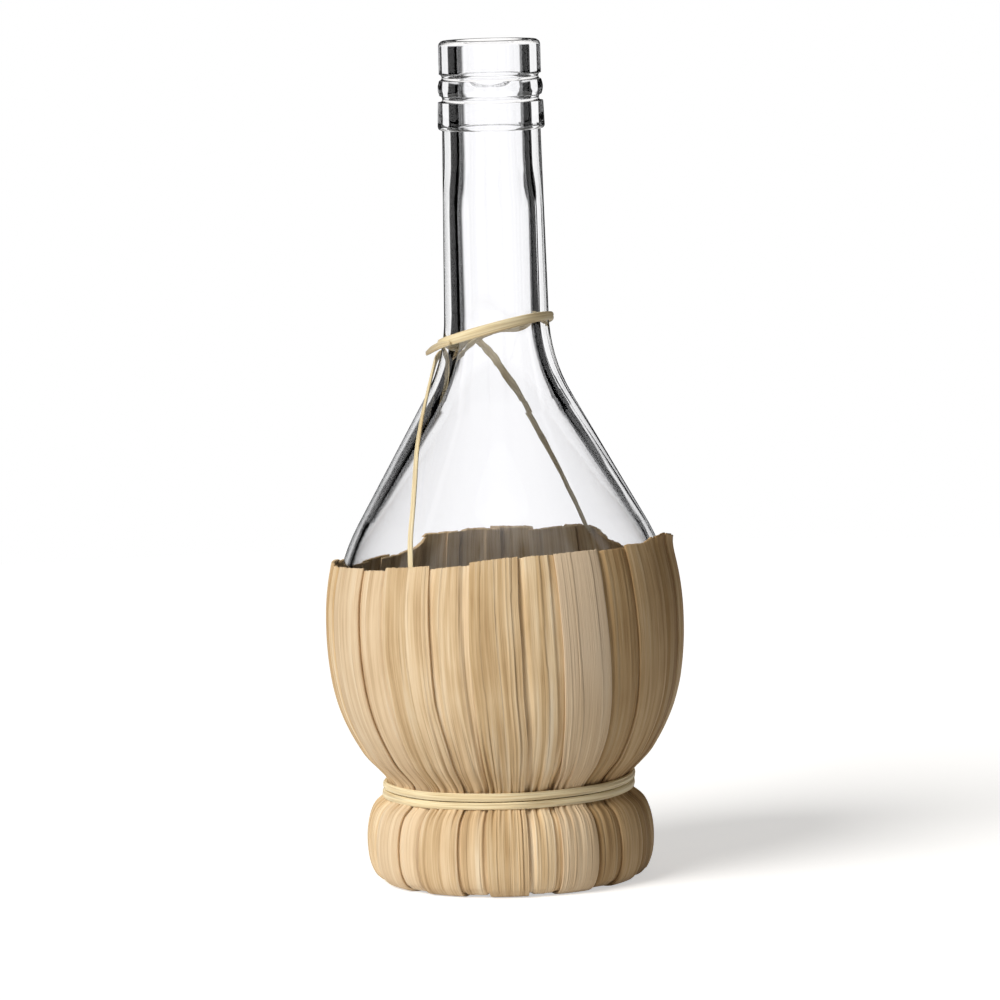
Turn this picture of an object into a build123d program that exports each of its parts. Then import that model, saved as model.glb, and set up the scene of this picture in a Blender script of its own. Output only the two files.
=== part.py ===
from build123d import *
import os
from math import acos, asin, atan2, cos, degrees, isclose, pi, radians, sin, sqrt, tan

os.makedirs("parts", exist_ok=True)

# Straw-covered flask: a round-bottomed glass flask in a basket of husk strips, which wrap a straw
# foot ring and are tied in at the waist. A raffia cord runs from the rim, round the neck and back.
# Millimetres, +Z up, origin on the floor at the middle of the foot. The front looks along -Y.

# Flask, from the mouth down
mouth_height = 237.0
bore_radius = 9.25
bore_length = 32.0
bore_easing_length = 18.0
mouth_rounding = 1.6
lip_rounding = 0.7
top_band_radius = 14.3
top_band_length = 9.4
groove_depth = 0.75
groove_length = 1.8
middle_ring_radius = 14.75
middle_ring_length = 4.2
lower_band_radius = 15.0
lower_band_length = 6.8
finish_step = 1.0
neck_top_radius = 13.8
neck_low_radius = 14.7
neck_bore_radius = 10.3
flare_radius = 47.0
cone_angle = 29.2
shoulder_radius = 60.0
body_radius = 48.2
equator_height = 72.2
side_radius = 90.0
side_turn = 8.95
base_radius = 48.0
base_flat_radius = 10.0
body_wall = 2.6
base_wall = 4.0

# Basket of husk strips
husk_thickness = 0.7
layer_gap = 0.3
husk_clearance = 0.45
husk_reach = 97.0
rim_standoff = 1.4
rim_standoff_power = 1.5
strip_count = 12
first_strip_angle = -124.0
outer_angle = 17.5
inner_angle = 20.0
waist_core_radius = 32.2
waist_floor = 5.2
waist_drop = 0.14
foot_core_radius = 38.6
foot_shelf_drop = 3.6
foot_curl_height = 7.0
foot_edge_radius = 34.7

# Foot ring of straw inside the husk
ring_hole_radius = 25.2
ring_clearance = 0.3
ring_lip_radius = 29.2

# Raffia waist tie and neck cord
tie_diameter = 2.0
tie_pitch = 2.45
tie_end_lift = 2.1
tie_turns = 2
tie_start_angle = 96.0
tie_points_per_turn = 8
cord_diameter = 1.7
cord_clearance = 0.3
loop_start_angle = 180
loop_first_turn = 60
loop_last_turn = 390
loop_turn_step = 30
loop_height = 154.8
loop_rise_right = 4.2
loop_rise_front = 2.3
loop_pitch = 2.6
loop_crossing = 2.6

# Shares of the named sizes, chosen by hand
reach_shares = (1.0, 0.82, 0.64, 0.46, 0.28, 0.13)
side_turn_shares = (0.0, 0.5)
base_angle_shares = (0.1, 0.17, 0.24, 0.31, 0.38, 0.45)
foot_side_shares = ((0.94, 0.93), (0.97, 0.84), (0.99, 0.71), (1.0, 0.5), (0.985, 0.27), (0.95, 0.13))
outer_top_shares = (0.85, 0.95, 0.99, 1.0, 0.94, 0.78, 1.0, 0.98, 0.9, 0.7, 0.73, 0.78)
inner_top_shares = (0.88, 0.96, 0.97, 0.97, 0.8, 0.75, 0.97, 0.97, 0.7, 0.7, 0.74, 0.8)
outer_width_shares = (1.0, 0.94, 1.06, 0.9, 1.0, 0.96, 1.04, 0.92, 1.0, 1.06, 0.95, 1.0)
inner_width_shares = (1.0, 1.04, 0.97, 1.0, 1.05, 1.0, 0.96, 1.03, 1.0, 0.98, 1.04, 1.0)

# The neck cord's free route, chosen by hand: angle round the flask in degrees, share of the climb
# from the rim to the loop, and share of the crossing lift that carries it over its own loop
front_route = ((-124.0, -0.08, 0), (-127.4, 0.064, 0), (-131.0, 0.2, 0), (-136.0, 0.335, 0),
               (-143.2, 0.469, 0), (-152.0, 0.604, 0), (-163.5, 0.722, 0), (-176.0, 0.823, 0),
               (168.0, 0.886, 0), (145.0, 0.904, 0))
back_route = ((135.0, 0.955, 0.3), (119.0, 0.957, 0.9), (107.0, 0.922, 1.0), (97.0, 0.87, 0.7),
              (88.0, 0.81, 0.2), (76.0, 0.715, 0), (66.5, 0.6, 0), (60.8, 0.45, 0),
              (57.6, 0.33, 0), (55.8, 0.2, 0), (54.6, 0.08, 0), (53.5, -0.042, 0))

# Two ways closer than this are parallel
parallel_limit = 1e-6


def arc(centre, radius, start, end):
    """An arc in the profile plane about a centre, from one angle to another in degrees."""
    middle = (start + end) / 2
    points = [(centre[0] + radius * cos(radians(a)), centre[1] + radius * sin(radians(a)))
              for a in (start, middle, end)]
    return ThreePointArc(*points)


# Sizes that follow from the named ones
husk_stack = 2 * husk_thickness + layer_gap
cord_line_radius = (cord_diameter / 2 + cord_clearance) / cos(radians(cone_angle))

# Centres of the flask's outer arcs
shoulder_centre = (body_radius - shoulder_radius, equator_height)
side_centre = (body_radius - side_radius, equator_height)
side_low = (side_centre[0] + side_radius * cos(radians(side_turn)),
            side_centre[1] - side_radius * sin(radians(side_turn)))
base_centre = (side_low[0] - base_radius * cos(radians(side_turn)),
               side_low[1] + base_radius * sin(radians(side_turn)))
cone_low = (shoulder_centre[0] + shoulder_radius * cos(radians(cone_angle)),
            shoulder_centre[1] + shoulder_radius * sin(radians(cone_angle)))
flare_centre_radius = neck_low_radius + flare_radius
cone_high_radius = flare_centre_radius - flare_radius * cos(radians(cone_angle))
cone_high_height = cone_low[1] + (cone_low[0] - cone_high_radius) / tan(radians(cone_angle))
flare_height = cone_high_height + flare_radius * sin(radians(cone_angle))
finish_length = (top_band_length + groove_length + middle_ring_length + groove_length
                 + lower_band_length + finish_step)
finish_height = mouth_height - finish_length


def flask_radius(height):
    """Outer radius of the flask at a height between its base arc and its finish."""
    if height > flare_height:
        share = (height - flare_height) / (finish_height - flare_height)
        return neck_low_radius + (neck_top_radius - neck_low_radius) * share
    if height > cone_high_height:
        return flare_centre_radius - sqrt(flare_radius ** 2 - (flare_height - height) ** 2)
    if height > cone_low[1]:
        return cone_low[0] - (height - cone_low[1]) * tan(radians(cone_angle))
    if height > equator_height:
        return shoulder_centre[0] + sqrt(shoulder_radius ** 2 - (height - equator_height) ** 2)
    if height > side_low[1]:
        return side_centre[0] + sqrt(side_radius ** 2 - (equator_height - height) ** 2)
    return base_centre[0] + sqrt(base_radius ** 2 - (base_centre[1] - height) ** 2)


def height_on_base(radius, offset):
    """Height of the flask's base arc, moved outward by an offset, at a radius."""
    return base_centre[1] - sqrt((base_radius + offset) ** 2 - (radius - base_centre[0]) ** 2)


# The waist is where the husk leaves the flask's base, and the foot's shelf lies under it
waist_height = height_on_base(waist_core_radius, husk_clearance) - waist_drop - waist_floor / 2
foot_shelf_height = waist_height - foot_shelf_drop


def glass_flask():
    """The flask: a ringed finish, neck, flared shoulder, globe and rounded base, with its hollow."""
    top = mouth_height
    band_low = top - top_band_length
    ring_high = band_low - groove_length
    ring_low = ring_high - middle_ring_length
    lower_high = ring_low - groove_length
    lower_low = lower_high - lower_band_length
    base_angle = -degrees(acos((base_flat_radius - base_centre[0]) / base_radius))
    base_height = height_on_base(base_flat_radius, 0)
    inner_flat_height = base_height + base_wall
    inner_base_radius = base_radius - body_wall
    inner_reach = base_centre[1] - inner_flat_height
    inner_angle_low = -degrees(asin(inner_reach / inner_base_radius))
    inner_flat_radius = base_centre[0] + inner_base_radius * cos(radians(inner_angle_low))
    wall = body_wall
    inner_shoulder_radius = shoulder_radius - wall
    inner_flare_radius = flare_radius + neck_low_radius - neck_bore_radius
    apart = flare_centre_radius - shoulder_centre[0]
    above = flare_height - shoulder_centre[1]
    bend = acos((inner_shoulder_radius + inner_flare_radius) / sqrt(apart ** 2 + above ** 2))
    inner_cone_angle = degrees(atan2(above, apart) - bend)
    lean, rise = cos(radians(inner_cone_angle)), sin(radians(inner_cone_angle))
    inner_cone_low = (shoulder_centre[0] + inner_shoulder_radius * lean,
                      shoulder_centre[1] + inner_shoulder_radius * rise)
    inner_cone_high = (flare_centre_radius - inner_flare_radius * lean,
                       flare_height - inner_flare_radius * rise)
    bore_low = top - bore_length
    easing_low = bore_low - bore_easing_length
    widening = neck_bore_radius - bore_radius
    easing_radius = (bore_easing_length ** 2 + widening ** 2) / (4 * widening)
    easing_angle = degrees(asin(bore_easing_length / (2 * easing_radius)))
    with BuildSketch(Plane.XZ) as section:
        with BuildLine():
            Line((bore_radius + lip_rounding, top), (top_band_radius - mouth_rounding, top))
            arc((top_band_radius - mouth_rounding, top - mouth_rounding), mouth_rounding, 90, 0)
            Line((top_band_radius, top - mouth_rounding), (top_band_radius, band_low))
            ThreePointArc((top_band_radius, band_low),
                          (top_band_radius - groove_depth, (band_low + ring_high) / 2),
                          (top_band_radius, ring_high))
            ThreePointArc((top_band_radius, ring_high),
                          (middle_ring_radius, (ring_high + ring_low) / 2),
                          (top_band_radius, ring_low))
            ThreePointArc((top_band_radius, ring_low),
                          (top_band_radius - groove_depth, (ring_low + lower_high) / 2),
                          (middle_ring_radius, lower_high))
            Line((middle_ring_radius, lower_high), (lower_band_radius, lower_low))
            arc((lower_band_radius - finish_step, lower_low), finish_step, 0, -90)
            Line((lower_band_radius - finish_step, finish_height), (neck_top_radius, finish_height))
            Line((neck_top_radius, finish_height), (neck_low_radius, flare_height))
            arc((flare_centre_radius, flare_height), flare_radius, 180, 180 + cone_angle)
            Line((cone_high_radius, cone_high_height), cone_low)
            arc(shoulder_centre, shoulder_radius, cone_angle, 0)
            arc(side_centre, side_radius, 0, -side_turn)
            arc(base_centre, base_radius, -side_turn, base_angle)
            Line((base_flat_radius, base_height), (0, base_height))
            Line((0, base_height), (0, inner_flat_height))
            Line((0, inner_flat_height), (inner_flat_radius, inner_flat_height))
            arc(base_centre, inner_base_radius, inner_angle_low, -side_turn)
            arc(side_centre, side_radius - wall, -side_turn, 0)
            arc(shoulder_centre, inner_shoulder_radius, 0, inner_cone_angle)
            Line(inner_cone_low, inner_cone_high)
            arc((flare_centre_radius, flare_height), inner_flare_radius, 180 + inner_cone_angle, 180)
            Line((neck_bore_radius, flare_height), (neck_bore_radius, easing_low))
            arc((neck_bore_radius - easing_radius, easing_low), easing_radius, 0, easing_angle)
            arc((bore_radius + easing_radius, bore_low), easing_radius, 180 + easing_angle, 180)
            Line((bore_radius, bore_low), (bore_radius, top - lip_rounding))
            arc((bore_radius + lip_rounding, top - lip_rounding), lip_rounding, 180, 90)
        make_face()
    return revolve(section.sketch, axis=Axis.Z)


def husk_line():
    """The line that the husk's inner face follows, as (radius, height), from the rim to its curl."""
    points = []
    reach = husk_reach - equator_height
    for share in reach_shares:
        height = equator_height + reach * share
        standoff = rim_standoff * share ** rim_standoff_power
        points.append((flask_radius(height) + husk_clearance + standoff, height))
    for share in side_turn_shares:
        turn = radians(side_turn * share)
        radius = side_radius + husk_clearance
        points.append((side_centre[0] + radius * cos(turn), side_centre[1] - radius * sin(turn)))
    for share in base_angle_shares:
        turn = radians(90 * share)
        radius = base_radius + husk_clearance
        points.append((base_centre[0] + radius * cos(turn), base_centre[1] - radius * sin(turn)))
    points.append((waist_core_radius, waist_height + waist_floor / 2))
    points.append((waist_core_radius, waist_height - waist_floor / 2))
    for radius_share, height_share in foot_side_shares:
        points.append((foot_core_radius * radius_share, foot_shelf_height * height_share))
    curl_radius = ring_hole_radius - ring_clearance
    points.append((foot_edge_radius, husk_stack))
    points.append((curl_radius + husk_thickness, husk_stack))
    points.append((curl_radius, husk_stack + husk_thickness))
    points.append((curl_radius, foot_curl_height))
    return points


def cut_at(line, top):
    """The part of the line below a height on its upper stretch."""
    lower = [p for p in line if p[1] < top or p[1] < equator_height]
    upper = line[len(line) - len(lower) - 1]
    share = (top - lower[0][1]) / (upper[1] - lower[0][1])
    return [(lower[0][0] + (upper[0] - lower[0][0]) * share, top)] + lower


def normals(line):
    """Outward mitre vectors at the points of the line, so that offset lines stay parallel."""
    runs = []
    for low, high in zip(line, line[1:]):
        step = (high[0] - low[0], high[1] - low[1])
        size = sqrt(step[0] ** 2 + step[1] ** 2)
        runs.append((-step[1] / size, step[0] / size))
    runs = [runs[0]] + runs + [runs[-1]]
    mitres = []
    for before, after in zip(runs, runs[1:]):
        scale = 1 + before[0] * after[0] + before[1] * after[1]
        mitres.append(((before[0] + after[0]) / scale, (before[1] + after[1]) / scale))
    return mitres


def husk_strip(line, angle, width_angle, offset):
    """One strip: a thin band along the line, crowned across to follow the round, flat where it rests."""
    out = Vector(cos(radians(angle)), sin(radians(angle)), 0)
    across = Vector(-sin(radians(angle)), cos(radians(angle)), 0)
    up = Vector(0, 0, 1)
    sections = []
    for (radius, height), (lean, rise) in zip(line, normals(line)):
        half = radius * sin(radians(width_angle / 2))
        rests = isclose(rise, -1)
        crown = 0 if rests else half ** 2 * lean / (2 * radius)
        faces = []
        for side, depth in ((-1, offset), (0, offset), (1, offset),
                            (1, offset + husk_thickness), (0, offset + husk_thickness),
                            (-1, offset + husk_thickness)):
            stand = depth - crown * side ** 2
            faces.append(out * (radius + lean * stand) + up * (height + rise * stand)
                         + across * (half * side))
        sections.append(make_face(Polyline(*faces, close=True)))
    return loft(sections, ruled=True)


def foot_ring(line):
    """The straw ring inside the foot: its outside follows the husk, its top seats the flask."""
    lower_waist = len(reach_shares) + len(side_turn_shares) + len(base_angle_shares) + 1
    outside = [(r - m * ring_clearance, z - n * ring_clearance)
               for (r, z), (m, n) in list(zip(line, normals(line)))[lower_waist:-1]]
    hole = ring_hole_radius
    seat_high = (ring_lip_radius, height_on_base(ring_lip_radius, ring_clearance))
    seat_low = (hole, height_on_base(hole, ring_clearance))
    seat_middle_radius = (ring_lip_radius + hole) / 2
    seat_middle = (seat_middle_radius, height_on_base(seat_middle_radius, ring_clearance))
    with BuildSketch(Plane.XZ) as section:
        with BuildLine():
            Polyline(*outside, seat_low)
            ThreePointArc(seat_low, seat_middle, seat_high)
            Line(seat_high, outside[0])
        make_face()
    return revolve(section.sketch, axis=Axis.Z)


def place(angle, radius, height):
    """A point from its angle round the flask, its radius and its height."""
    return Vector(radius * cos(radians(angle)), radius * sin(radians(angle)), height)


def biarc(start, start_way, end, end_way):
    """Two tangent arcs between two points with given directions, as two edges."""
    chord = end - start
    both = start_way + end_way
    spread = 2 * (1 - start_way.dot(end_way))
    pull = chord.dot(both)
    if spread < parallel_limit:
        reach = chord.dot(chord) / (2 * pull)
    else:
        reach = (sqrt(pull ** 2 + spread * chord.dot(chord)) - pull) / spread
    first = start + start_way * reach
    second = end - end_way * reach
    meet = (first + second) / 2
    way = (second - first).normalized()
    return [Edge.make_tangent_arc(start, start_way, meet), Edge.make_tangent_arc(meet, way, end)]


def directions(points):
    """The direction of the line at each point, from the circle through it and its neighbours."""
    ways = []
    for before, here, after in zip(points, points[1:], points[2:]):
        one = here - before
        two = after - here
        ways.append((one / one.dot(one) + two / two.dot(two)).normalized())
    first = points[1] - points[0]
    last = points[-1] - points[-2]
    start = (first.normalized() * 2 * ways[0].dot(first.normalized()) - ways[0]).normalized()
    end = (last.normalized() * 2 * ways[-1].dot(last.normalized()) - ways[-1]).normalized()
    return [start] + ways + [end]


def raffia(name, points, diameter):
    """A tube of raffia through the points, with its length, least radius and volume printed."""
    ways = directions(points)
    edges = []
    for here, way, after, after_way in zip(points, ways, points[1:], ways[1:]):
        edges += biarc(here, way, after, after_way)
    path = Wire(edges)
    profile = Plane(origin=points[0], z_dir=ways[0]) * Circle(diameter / 2)
    tube = sweep(profile, path=path)
    length = sum(edge.length for edge in edges)
    least = min(edge.radius for edge in edges)
    print(f"{name}: length {length:.1f}, least radius {least:.1f}, "
          f"volume {tube.volume:.1f} of {pi * diameter ** 2 / 4 * length:.1f}")
    return tube


def waist_tie():
    """The tie: one length of raffia wound round the waist, its two ends lifted at the back."""
    line_radius = waist_core_radius + husk_stack + cord_clearance + tie_diameter / 2
    points = []
    steps = tie_points_per_turn * tie_turns
    for step in range(steps + 1):
        share = 1 - 2 * step / steps
        radius = line_radius + tie_end_lift * share ** 2
        height = waist_height + tie_pitch * tie_turns / 2 * share
        points.append(place(tie_start_angle - 360 * tie_turns * step / steps, radius, height))
    return raffia("waist_tie", points, tie_diameter)


def on_flask(angle, height, lift=0):
    """A point of the neck cord's line on the flask's surface, lifted off it where it crosses."""
    return place(angle, flask_radius(height) + cord_line_radius + lift, height)


def route_place(angle, climb_share, lift_share):
    """A point of the cord's way between the rim and the loop."""
    height = husk_reach + (loop_height - husk_reach) * climb_share
    return on_flask(angle, height, loop_crossing * lift_share)


def loop_place(turned):
    """A point of the loop round the neck, at an angle turned from its start on the left."""
    angle = loop_start_angle - turned
    height = (loop_height + loop_rise_right * cos(radians(angle))
              - loop_rise_front * sin(radians(angle)) + loop_pitch * (turned / 360 - 0.5))
    return on_flask(angle, height)


def neck_cord():
    """The cord: up the shoulder on the left, once and a bit round the neck, and down the back."""
    points = [route_place(*p) for p in front_route]
    for turned in range(loop_first_turn, loop_last_turn + 1, loop_turn_step):
        points.append(loop_place(turned))
    points += [route_place(*p) for p in back_route]
    return raffia("neck_cord", points, cord_diameter)


line = husk_line()
pitch = 360 / strip_count
nodes = {"glass_flask": glass_flask(), "foot_ring": foot_ring(line)}
for i in range(strip_count):
    top = equator_height + (husk_reach - equator_height) * inner_top_shares[i]
    nodes[f"inner_husk_{i + 1:02d}"] = husk_strip(
        cut_at(line, top), first_strip_angle + pitch * (i + 0.5),
        inner_angle * inner_width_shares[i], 0)
for i in range(strip_count):
    top = equator_height + (husk_reach - equator_height) * outer_top_shares[i]
    nodes[f"outer_husk_{i + 1:02d}"] = husk_strip(
        cut_at(line, top), first_strip_angle + pitch * i,
        outer_angle * outer_width_shares[i], husk_thickness + layer_gap)
nodes["waist_tie"] = waist_tie()
nodes["neck_cord"] = neck_cord()

for name, solid in nodes.items():
    solid.label = name
    export_step(solid, f"parts/{name}.step")
    print(f"{name}: {solid.volume:.1f} mm3")
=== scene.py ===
from math import cos, exp, pi, radians, sin, sqrt, tan

import bpy
import numpy as np
from mathutils import Matrix, Vector


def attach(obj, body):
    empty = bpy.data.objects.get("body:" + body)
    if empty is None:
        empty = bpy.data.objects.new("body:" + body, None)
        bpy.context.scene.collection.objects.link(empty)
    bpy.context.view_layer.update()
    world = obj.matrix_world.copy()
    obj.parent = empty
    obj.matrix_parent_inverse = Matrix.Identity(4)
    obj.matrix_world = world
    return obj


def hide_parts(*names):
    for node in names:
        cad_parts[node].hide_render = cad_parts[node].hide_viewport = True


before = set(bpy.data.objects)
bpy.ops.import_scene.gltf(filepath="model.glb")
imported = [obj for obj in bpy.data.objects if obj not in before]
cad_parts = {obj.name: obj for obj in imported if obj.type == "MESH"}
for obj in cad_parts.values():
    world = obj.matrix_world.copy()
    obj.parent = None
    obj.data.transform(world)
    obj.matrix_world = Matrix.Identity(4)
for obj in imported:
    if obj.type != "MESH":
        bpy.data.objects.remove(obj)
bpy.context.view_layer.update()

mm = 0.001

# Flask outline, in millimetres, the same sizes as the solid's
body_radius = 48.2
equator_height = 72.2
shoulder_radius = 60.0
side_radius = 90.0
side_turn = 8.95
base_radius = 48.0
cone_angle = 29.2
neck_low_radius = 14.7
neck_top_radius = 13.8
flare_radius = 47.0
finish_height = 212.0

# Basket, in millimetres
husk_reach = 97.0
husk_clearance = 0.45
rim_standoff = 1.4
husk_thickness = 0.7
layer_gap = 0.3
husk_stack = 2 * husk_thickness + layer_gap
strip_count = 12
first_strip_angle = -124.0
outer_angle = 17.5
inner_angle = 20.0
outer_width_shares = (1.0, 0.94, 0.94, 0.9, 1.0, 0.96, 1.04, 0.92, 1.0, 1.06, 0.95, 1.0)
inner_width_shares = (1.0, 1.04, 0.97, 1.0, 1.05, 1.0, 0.96, 1.03, 1.0, 0.98, 1.04, 1.0)
waist_height = 27.0
waist_radius = 32.2
foot_radius = 38.6
foot_edge_radius = 34.7
foot_hole_radius = 24.9
foot_curl_height = 7.0
leaf_half_width = 7.4
waist_twist = 3.0
inner_drop = 0.35
least_thickness = 0.12
edge_thinning = 0.3
pleat_depth = 0.8
crease_depth = 0.16
leaf_columns = 85
leaf_rows = 210
foot_flat_height = 3.2
inner_flat_depth = 1.3
lip_depth = 1.3

# The rim's height at angles round the basket
rim_line = ((-170, 90.7), (-155, 91.4), (-140, 92.3), (-125, 93.0), (-110, 94.2), (-95, 95.5),
            (-80, 96.5), (-60, 96.8), (-42, 96.7), (-31, 96.3), (-25, 97.5), (-14, 97.7),
            (-4, 95.6), (10, 92.6), (25, 90.9), (38, 90.7), (45, 92.3), (52, 95.8), (58, 97.8),
            (68, 97.3), (76, 96.4), (92, 96.7), (103, 96.8), (112, 95.4), (120, 94.4),
            (124, 91.0), (132, 89.6), (150, 89.6))

# How the strips look, from the front left to the right: lightness, pinkness, coarseness. The
# first value is partly each strip's own colour and partly painted shade: the strips at the right,
# away from the key lamp, are made darker and browner
strip_looks = {
    "outer_husk_12": (1.03, 0.40, 0.45),
    "inner_husk_12": (1.07, 0.35, 0.40),
    "outer_husk_01": (0.98, 0.20, 0.95),
    "inner_husk_01": (1.10, 0.15, 0.80),
    "outer_husk_02": (0.96, 0.10, 1.10),
    "inner_husk_02": (1.10, 0.00, 1.00),
    "outer_husk_03": (1.02, 0.80, 0.55),
    "inner_husk_03": (0.66, 0.15, 0.65),
    "outer_husk_04": (0.80, 0.15, 0.80),
    "inner_husk_04": (0.58, 0.10, 1.20),
    "outer_husk_05": (0.68, 0.10, 1.00),
}

# Raffia, in millimetres
tie_pitch = 2.45
tie_turns = 2
tie_start_angle = 96.0
tie_end_lift = 2.1
tie_sink = 0.25
tie_line_radius = waist_radius + husk_stack + 1.3
knot_line_radius = tie_line_radius + 1.15
knot_half_depth = 1.95
knot_half_height = 4.0
knot_thickness = 0.55
tie_width = 2.2
tie_thickness = 1.6
cord_thickness = 0.95
tail_thickness = 0.8
groove_depth = 0.42
loop_height = 154.8
loop_rise_right = 4.2
loop_rise_front = 2.3
loop_pitch = 2.6
loop_crossing = 2.6
first_pass_rise = 3.0
first_pass_turn = 78
first_pass_spread = 30
ribbon_columns = 25
cord_steps = 14
tail_steps = 10
cord_line_radius = 0.85 / cos(radians(cone_angle))

# The neck cord's free route: angle round the flask in degrees, share of the climb
# from the rim to the loop, and share of the crossing lift that carries it over its own loop
front_route = ((-124.0, -0.08, 0), (-127.4, 0.064, 0), (-131.0, 0.2, 0), (-136.0, 0.335, 0),
               (-143.2, 0.469, 0), (-152.0, 0.604, 0), (-163.5, 0.722, 0), (-176.0, 0.823, 0),
               (168.0, 0.886, 0), (145.0, 0.904, 0))
back_route = ((135.0, 0.955, 0.3), (119.0, 0.957, 0.9), (107.0, 0.922, 1.0), (97.0, 0.87, 0.7),
              (88.0, 0.81, 0.2), (76.0, 0.715, 0), (66.5, 0.6, 0), (60.8, 0.45, 0),
              (57.6, 0.33, 0), (55.8, 0.2, 0), (54.6, 0.08, 0), (53.5, -0.042, 0))

# The neck ribbon's width along its route: up the shoulder, round the neck and down the back
front_widths = (1.7, 1.7, 1.7, 1.8, 1.9, 1.9, 2.0, 2.2, 2.1, 1.9)
loop_widths = (1.7, 1.6, 1.6, 1.8, 2.2, 2.5, 2.8, 2.9, 2.9, 2.8, 2.4, 2.1)
back_widths = (2.0, 2.1, 2.3, 2.5, 2.6, 2.5, 2.2, 2.0, 1.8, 1.6, 1.5, 1.4)

# The cut end that stands out from the loop at the left
tail_route = ((-140, 17.3, 153.2), (-154, 17.7, 152.3), (-167, 18.2, 151.2), (-177, 19.0, 150.2),
              (-182, 19.9, 149.4))
tail_widths = (1.2, 1.9, 2.0, 1.8, 1.3)

# Straw ring, in millimetres: the outline is (height, outer radius), and the flask sits on the
# sloped seat
stalk_radius = 1.75
straw_low = 3.6
straw_high = 22.5
straw_seat = 11.5
straw_hole_radius = 27.2
straw_seat_radius = 29.5
straw_seat_slope = 0.35
straw_row_rise = 1.75
straw_outline = ((2.0, 34.0), (6.0, 37.0), (13.0, 37.9), (18.0, 37.2), (22.0, 34.0))

# Colours, with the places of the ramps' stops
husk_shades = ((0.18, (0.47, 0.305, 0.145)), (0.38, (0.62, 0.435, 0.235)),
               (0.56, (0.73, 0.545, 0.325)), (0.78, (0.82, 0.665, 0.455)))
husk_pink = (0.675, 0.53, 0.375, 1)
husk_split = (0.33, 0.19, 0.08, 1)
husk_vein = (0.33, 0.20, 0.09, 1)
# Painted shade for the husk's pleats and creases
husk_painted_shade = (0.26, 0.15, 0.065, 1)
raffia_shades = ((0.28, (0.56, 0.39, 0.19)), (0.46, (0.78, 0.63, 0.37)),
                 (0.62, (0.89, 0.77, 0.50)), (0.85, (0.93, 0.84, 0.61)))
raffia_grey = (0.27, 0.23, 0.17, 1)
# Painted shade for the raffia's grooves
raffia_painted_shade = (0.42, 0.26, 0.11, 1)
straw_shades = ((0.3, (0.38, 0.26, 0.11)), (0.55, (0.60, 0.45, 0.21)), (0.8, (0.74, 0.60, 0.33)))
glass_clear = (0.99, 0.99, 1.0, 1)
# Painted shade for the glass where it is seen edge on
glass_edge_shade = (0.30, 0.31, 0.32, 1)
glass_shadow = (0.62, 0.62, 0.62, 1)

# The studio's cards, with angles in degrees: each pair is an edge's azimuth at low and at high
# elevation
card_left_edge = (22.0, 15.0)
card_right_edge = (-31.0, -22.0)
side_card_left_change = -7.0
side_card_right_change = 22.0
left_edge_softness = 4.0
right_edge_softness = 2.0
corner_card_angle = 135.0
card_level = 1.08
ceiling_level = 0.8
room_level = 0.16
fill_colour = (0.15, 0.14, 0.125, 1)

# Camera, in metres and degrees
camera_place = Vector((-0.0004, -1.7625, 0.3037))
camera_drop = 6.354
camera_roll = 1.56
camera_lens = 226.5

# Floor, in metres
floor_radius = 0.8
floor_colour = (0.82, 0.82, 0.82, 1)
floor_glow = 0.52

# Key lamp, with its angles in degrees
key_azimuth = -46
key_elevation = 34
key_strength = 3.1
key_angle = 36
key_colour = (1.0, 0.985, 0.96)


# Node helpers

def add(tree, kind, **sockets):
    """A shader node with some of its sockets set or linked."""
    node = tree.nodes.new(kind)
    for name, value in sockets.items():
        plug(tree, value, node.inputs[name])
    return node


def grey(tree, level):
    """A colour with one level in all three channels."""
    return add(tree, "ShaderNodeCombineXYZ", X=level, Y=level, Z=level).outputs[0]


def plug(tree, value, socket):
    """Links an output to a socket, or sets the socket's value."""
    if isinstance(value, bpy.types.NodeSocket):
        tree.links.new(value, socket)
    else:
        socket.default_value = value


def maths(tree, operation, *values):
    """The result of one Math node."""
    node = tree.nodes.new("ShaderNodeMath")
    node.operation = operation
    for value, socket in zip(values, node.inputs):
        plug(tree, value, socket)
    return node.outputs[0]


def ease(tree, value, low, high, to_low=0.0, to_high=1.0):
    """A smooth step of a value from one level to another."""
    node = tree.nodes.new("ShaderNodeMapRange")
    node.interpolation_type = "SMOOTHSTEP"
    for entry, socket in zip((value, low, high, to_low, to_high), node.inputs):
        plug(tree, entry, socket)
    return node.outputs[0]


def mixed(tree, share, first, second, blend="MIX"):
    """A mix of two colours."""
    node = tree.nodes.new("ShaderNodeMix")
    node.data_type = "RGBA"
    node.blend_type = blend
    plug(tree, share, node.inputs[0])
    plug(tree, first, node.inputs[6])
    plug(tree, second, node.inputs[7])
    return node.outputs[2]


def noise_of(tree, place, detail=2.0, rough=0.5):
    """A noise value, from 0 to 1, at a place."""
    node = tree.nodes.new("ShaderNodeTexNoise")
    plug(tree, place, node.inputs["Vector"])
    node.inputs["Scale"].default_value = 1.0
    node.inputs["Detail"].default_value = detail
    node.inputs["Roughness"].default_value = rough
    return node.outputs[0]


def stretched(tree, across, along, third, across_scale, along_scale):
    """A place in a texture that is drawn out along the fibre."""
    node = tree.nodes.new("ShaderNodeCombineXYZ")
    plug(tree, maths(tree, "MULTIPLY", across, across_scale), node.inputs[0])
    plug(tree, maths(tree, "MULTIPLY", along, along_scale), node.inputs[1])
    plug(tree, maths(tree, "MULTIPLY", third, 7.31), node.inputs[2])
    return node.outputs[0]


def ramp(tree, value, *stops):
    """A colour ramp with (place, colour) stops."""
    node = tree.nodes.new("ShaderNodeValToRGB")
    plug(tree, value, node.inputs[0])
    elements = node.color_ramp.elements
    while len(elements) < len(stops):
        elements.new(0.5)
    for element, (place, colour) in zip(elements, stops):
        element.position = place
        element.color = (*colour, 1)
    return node.outputs[0]


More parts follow.
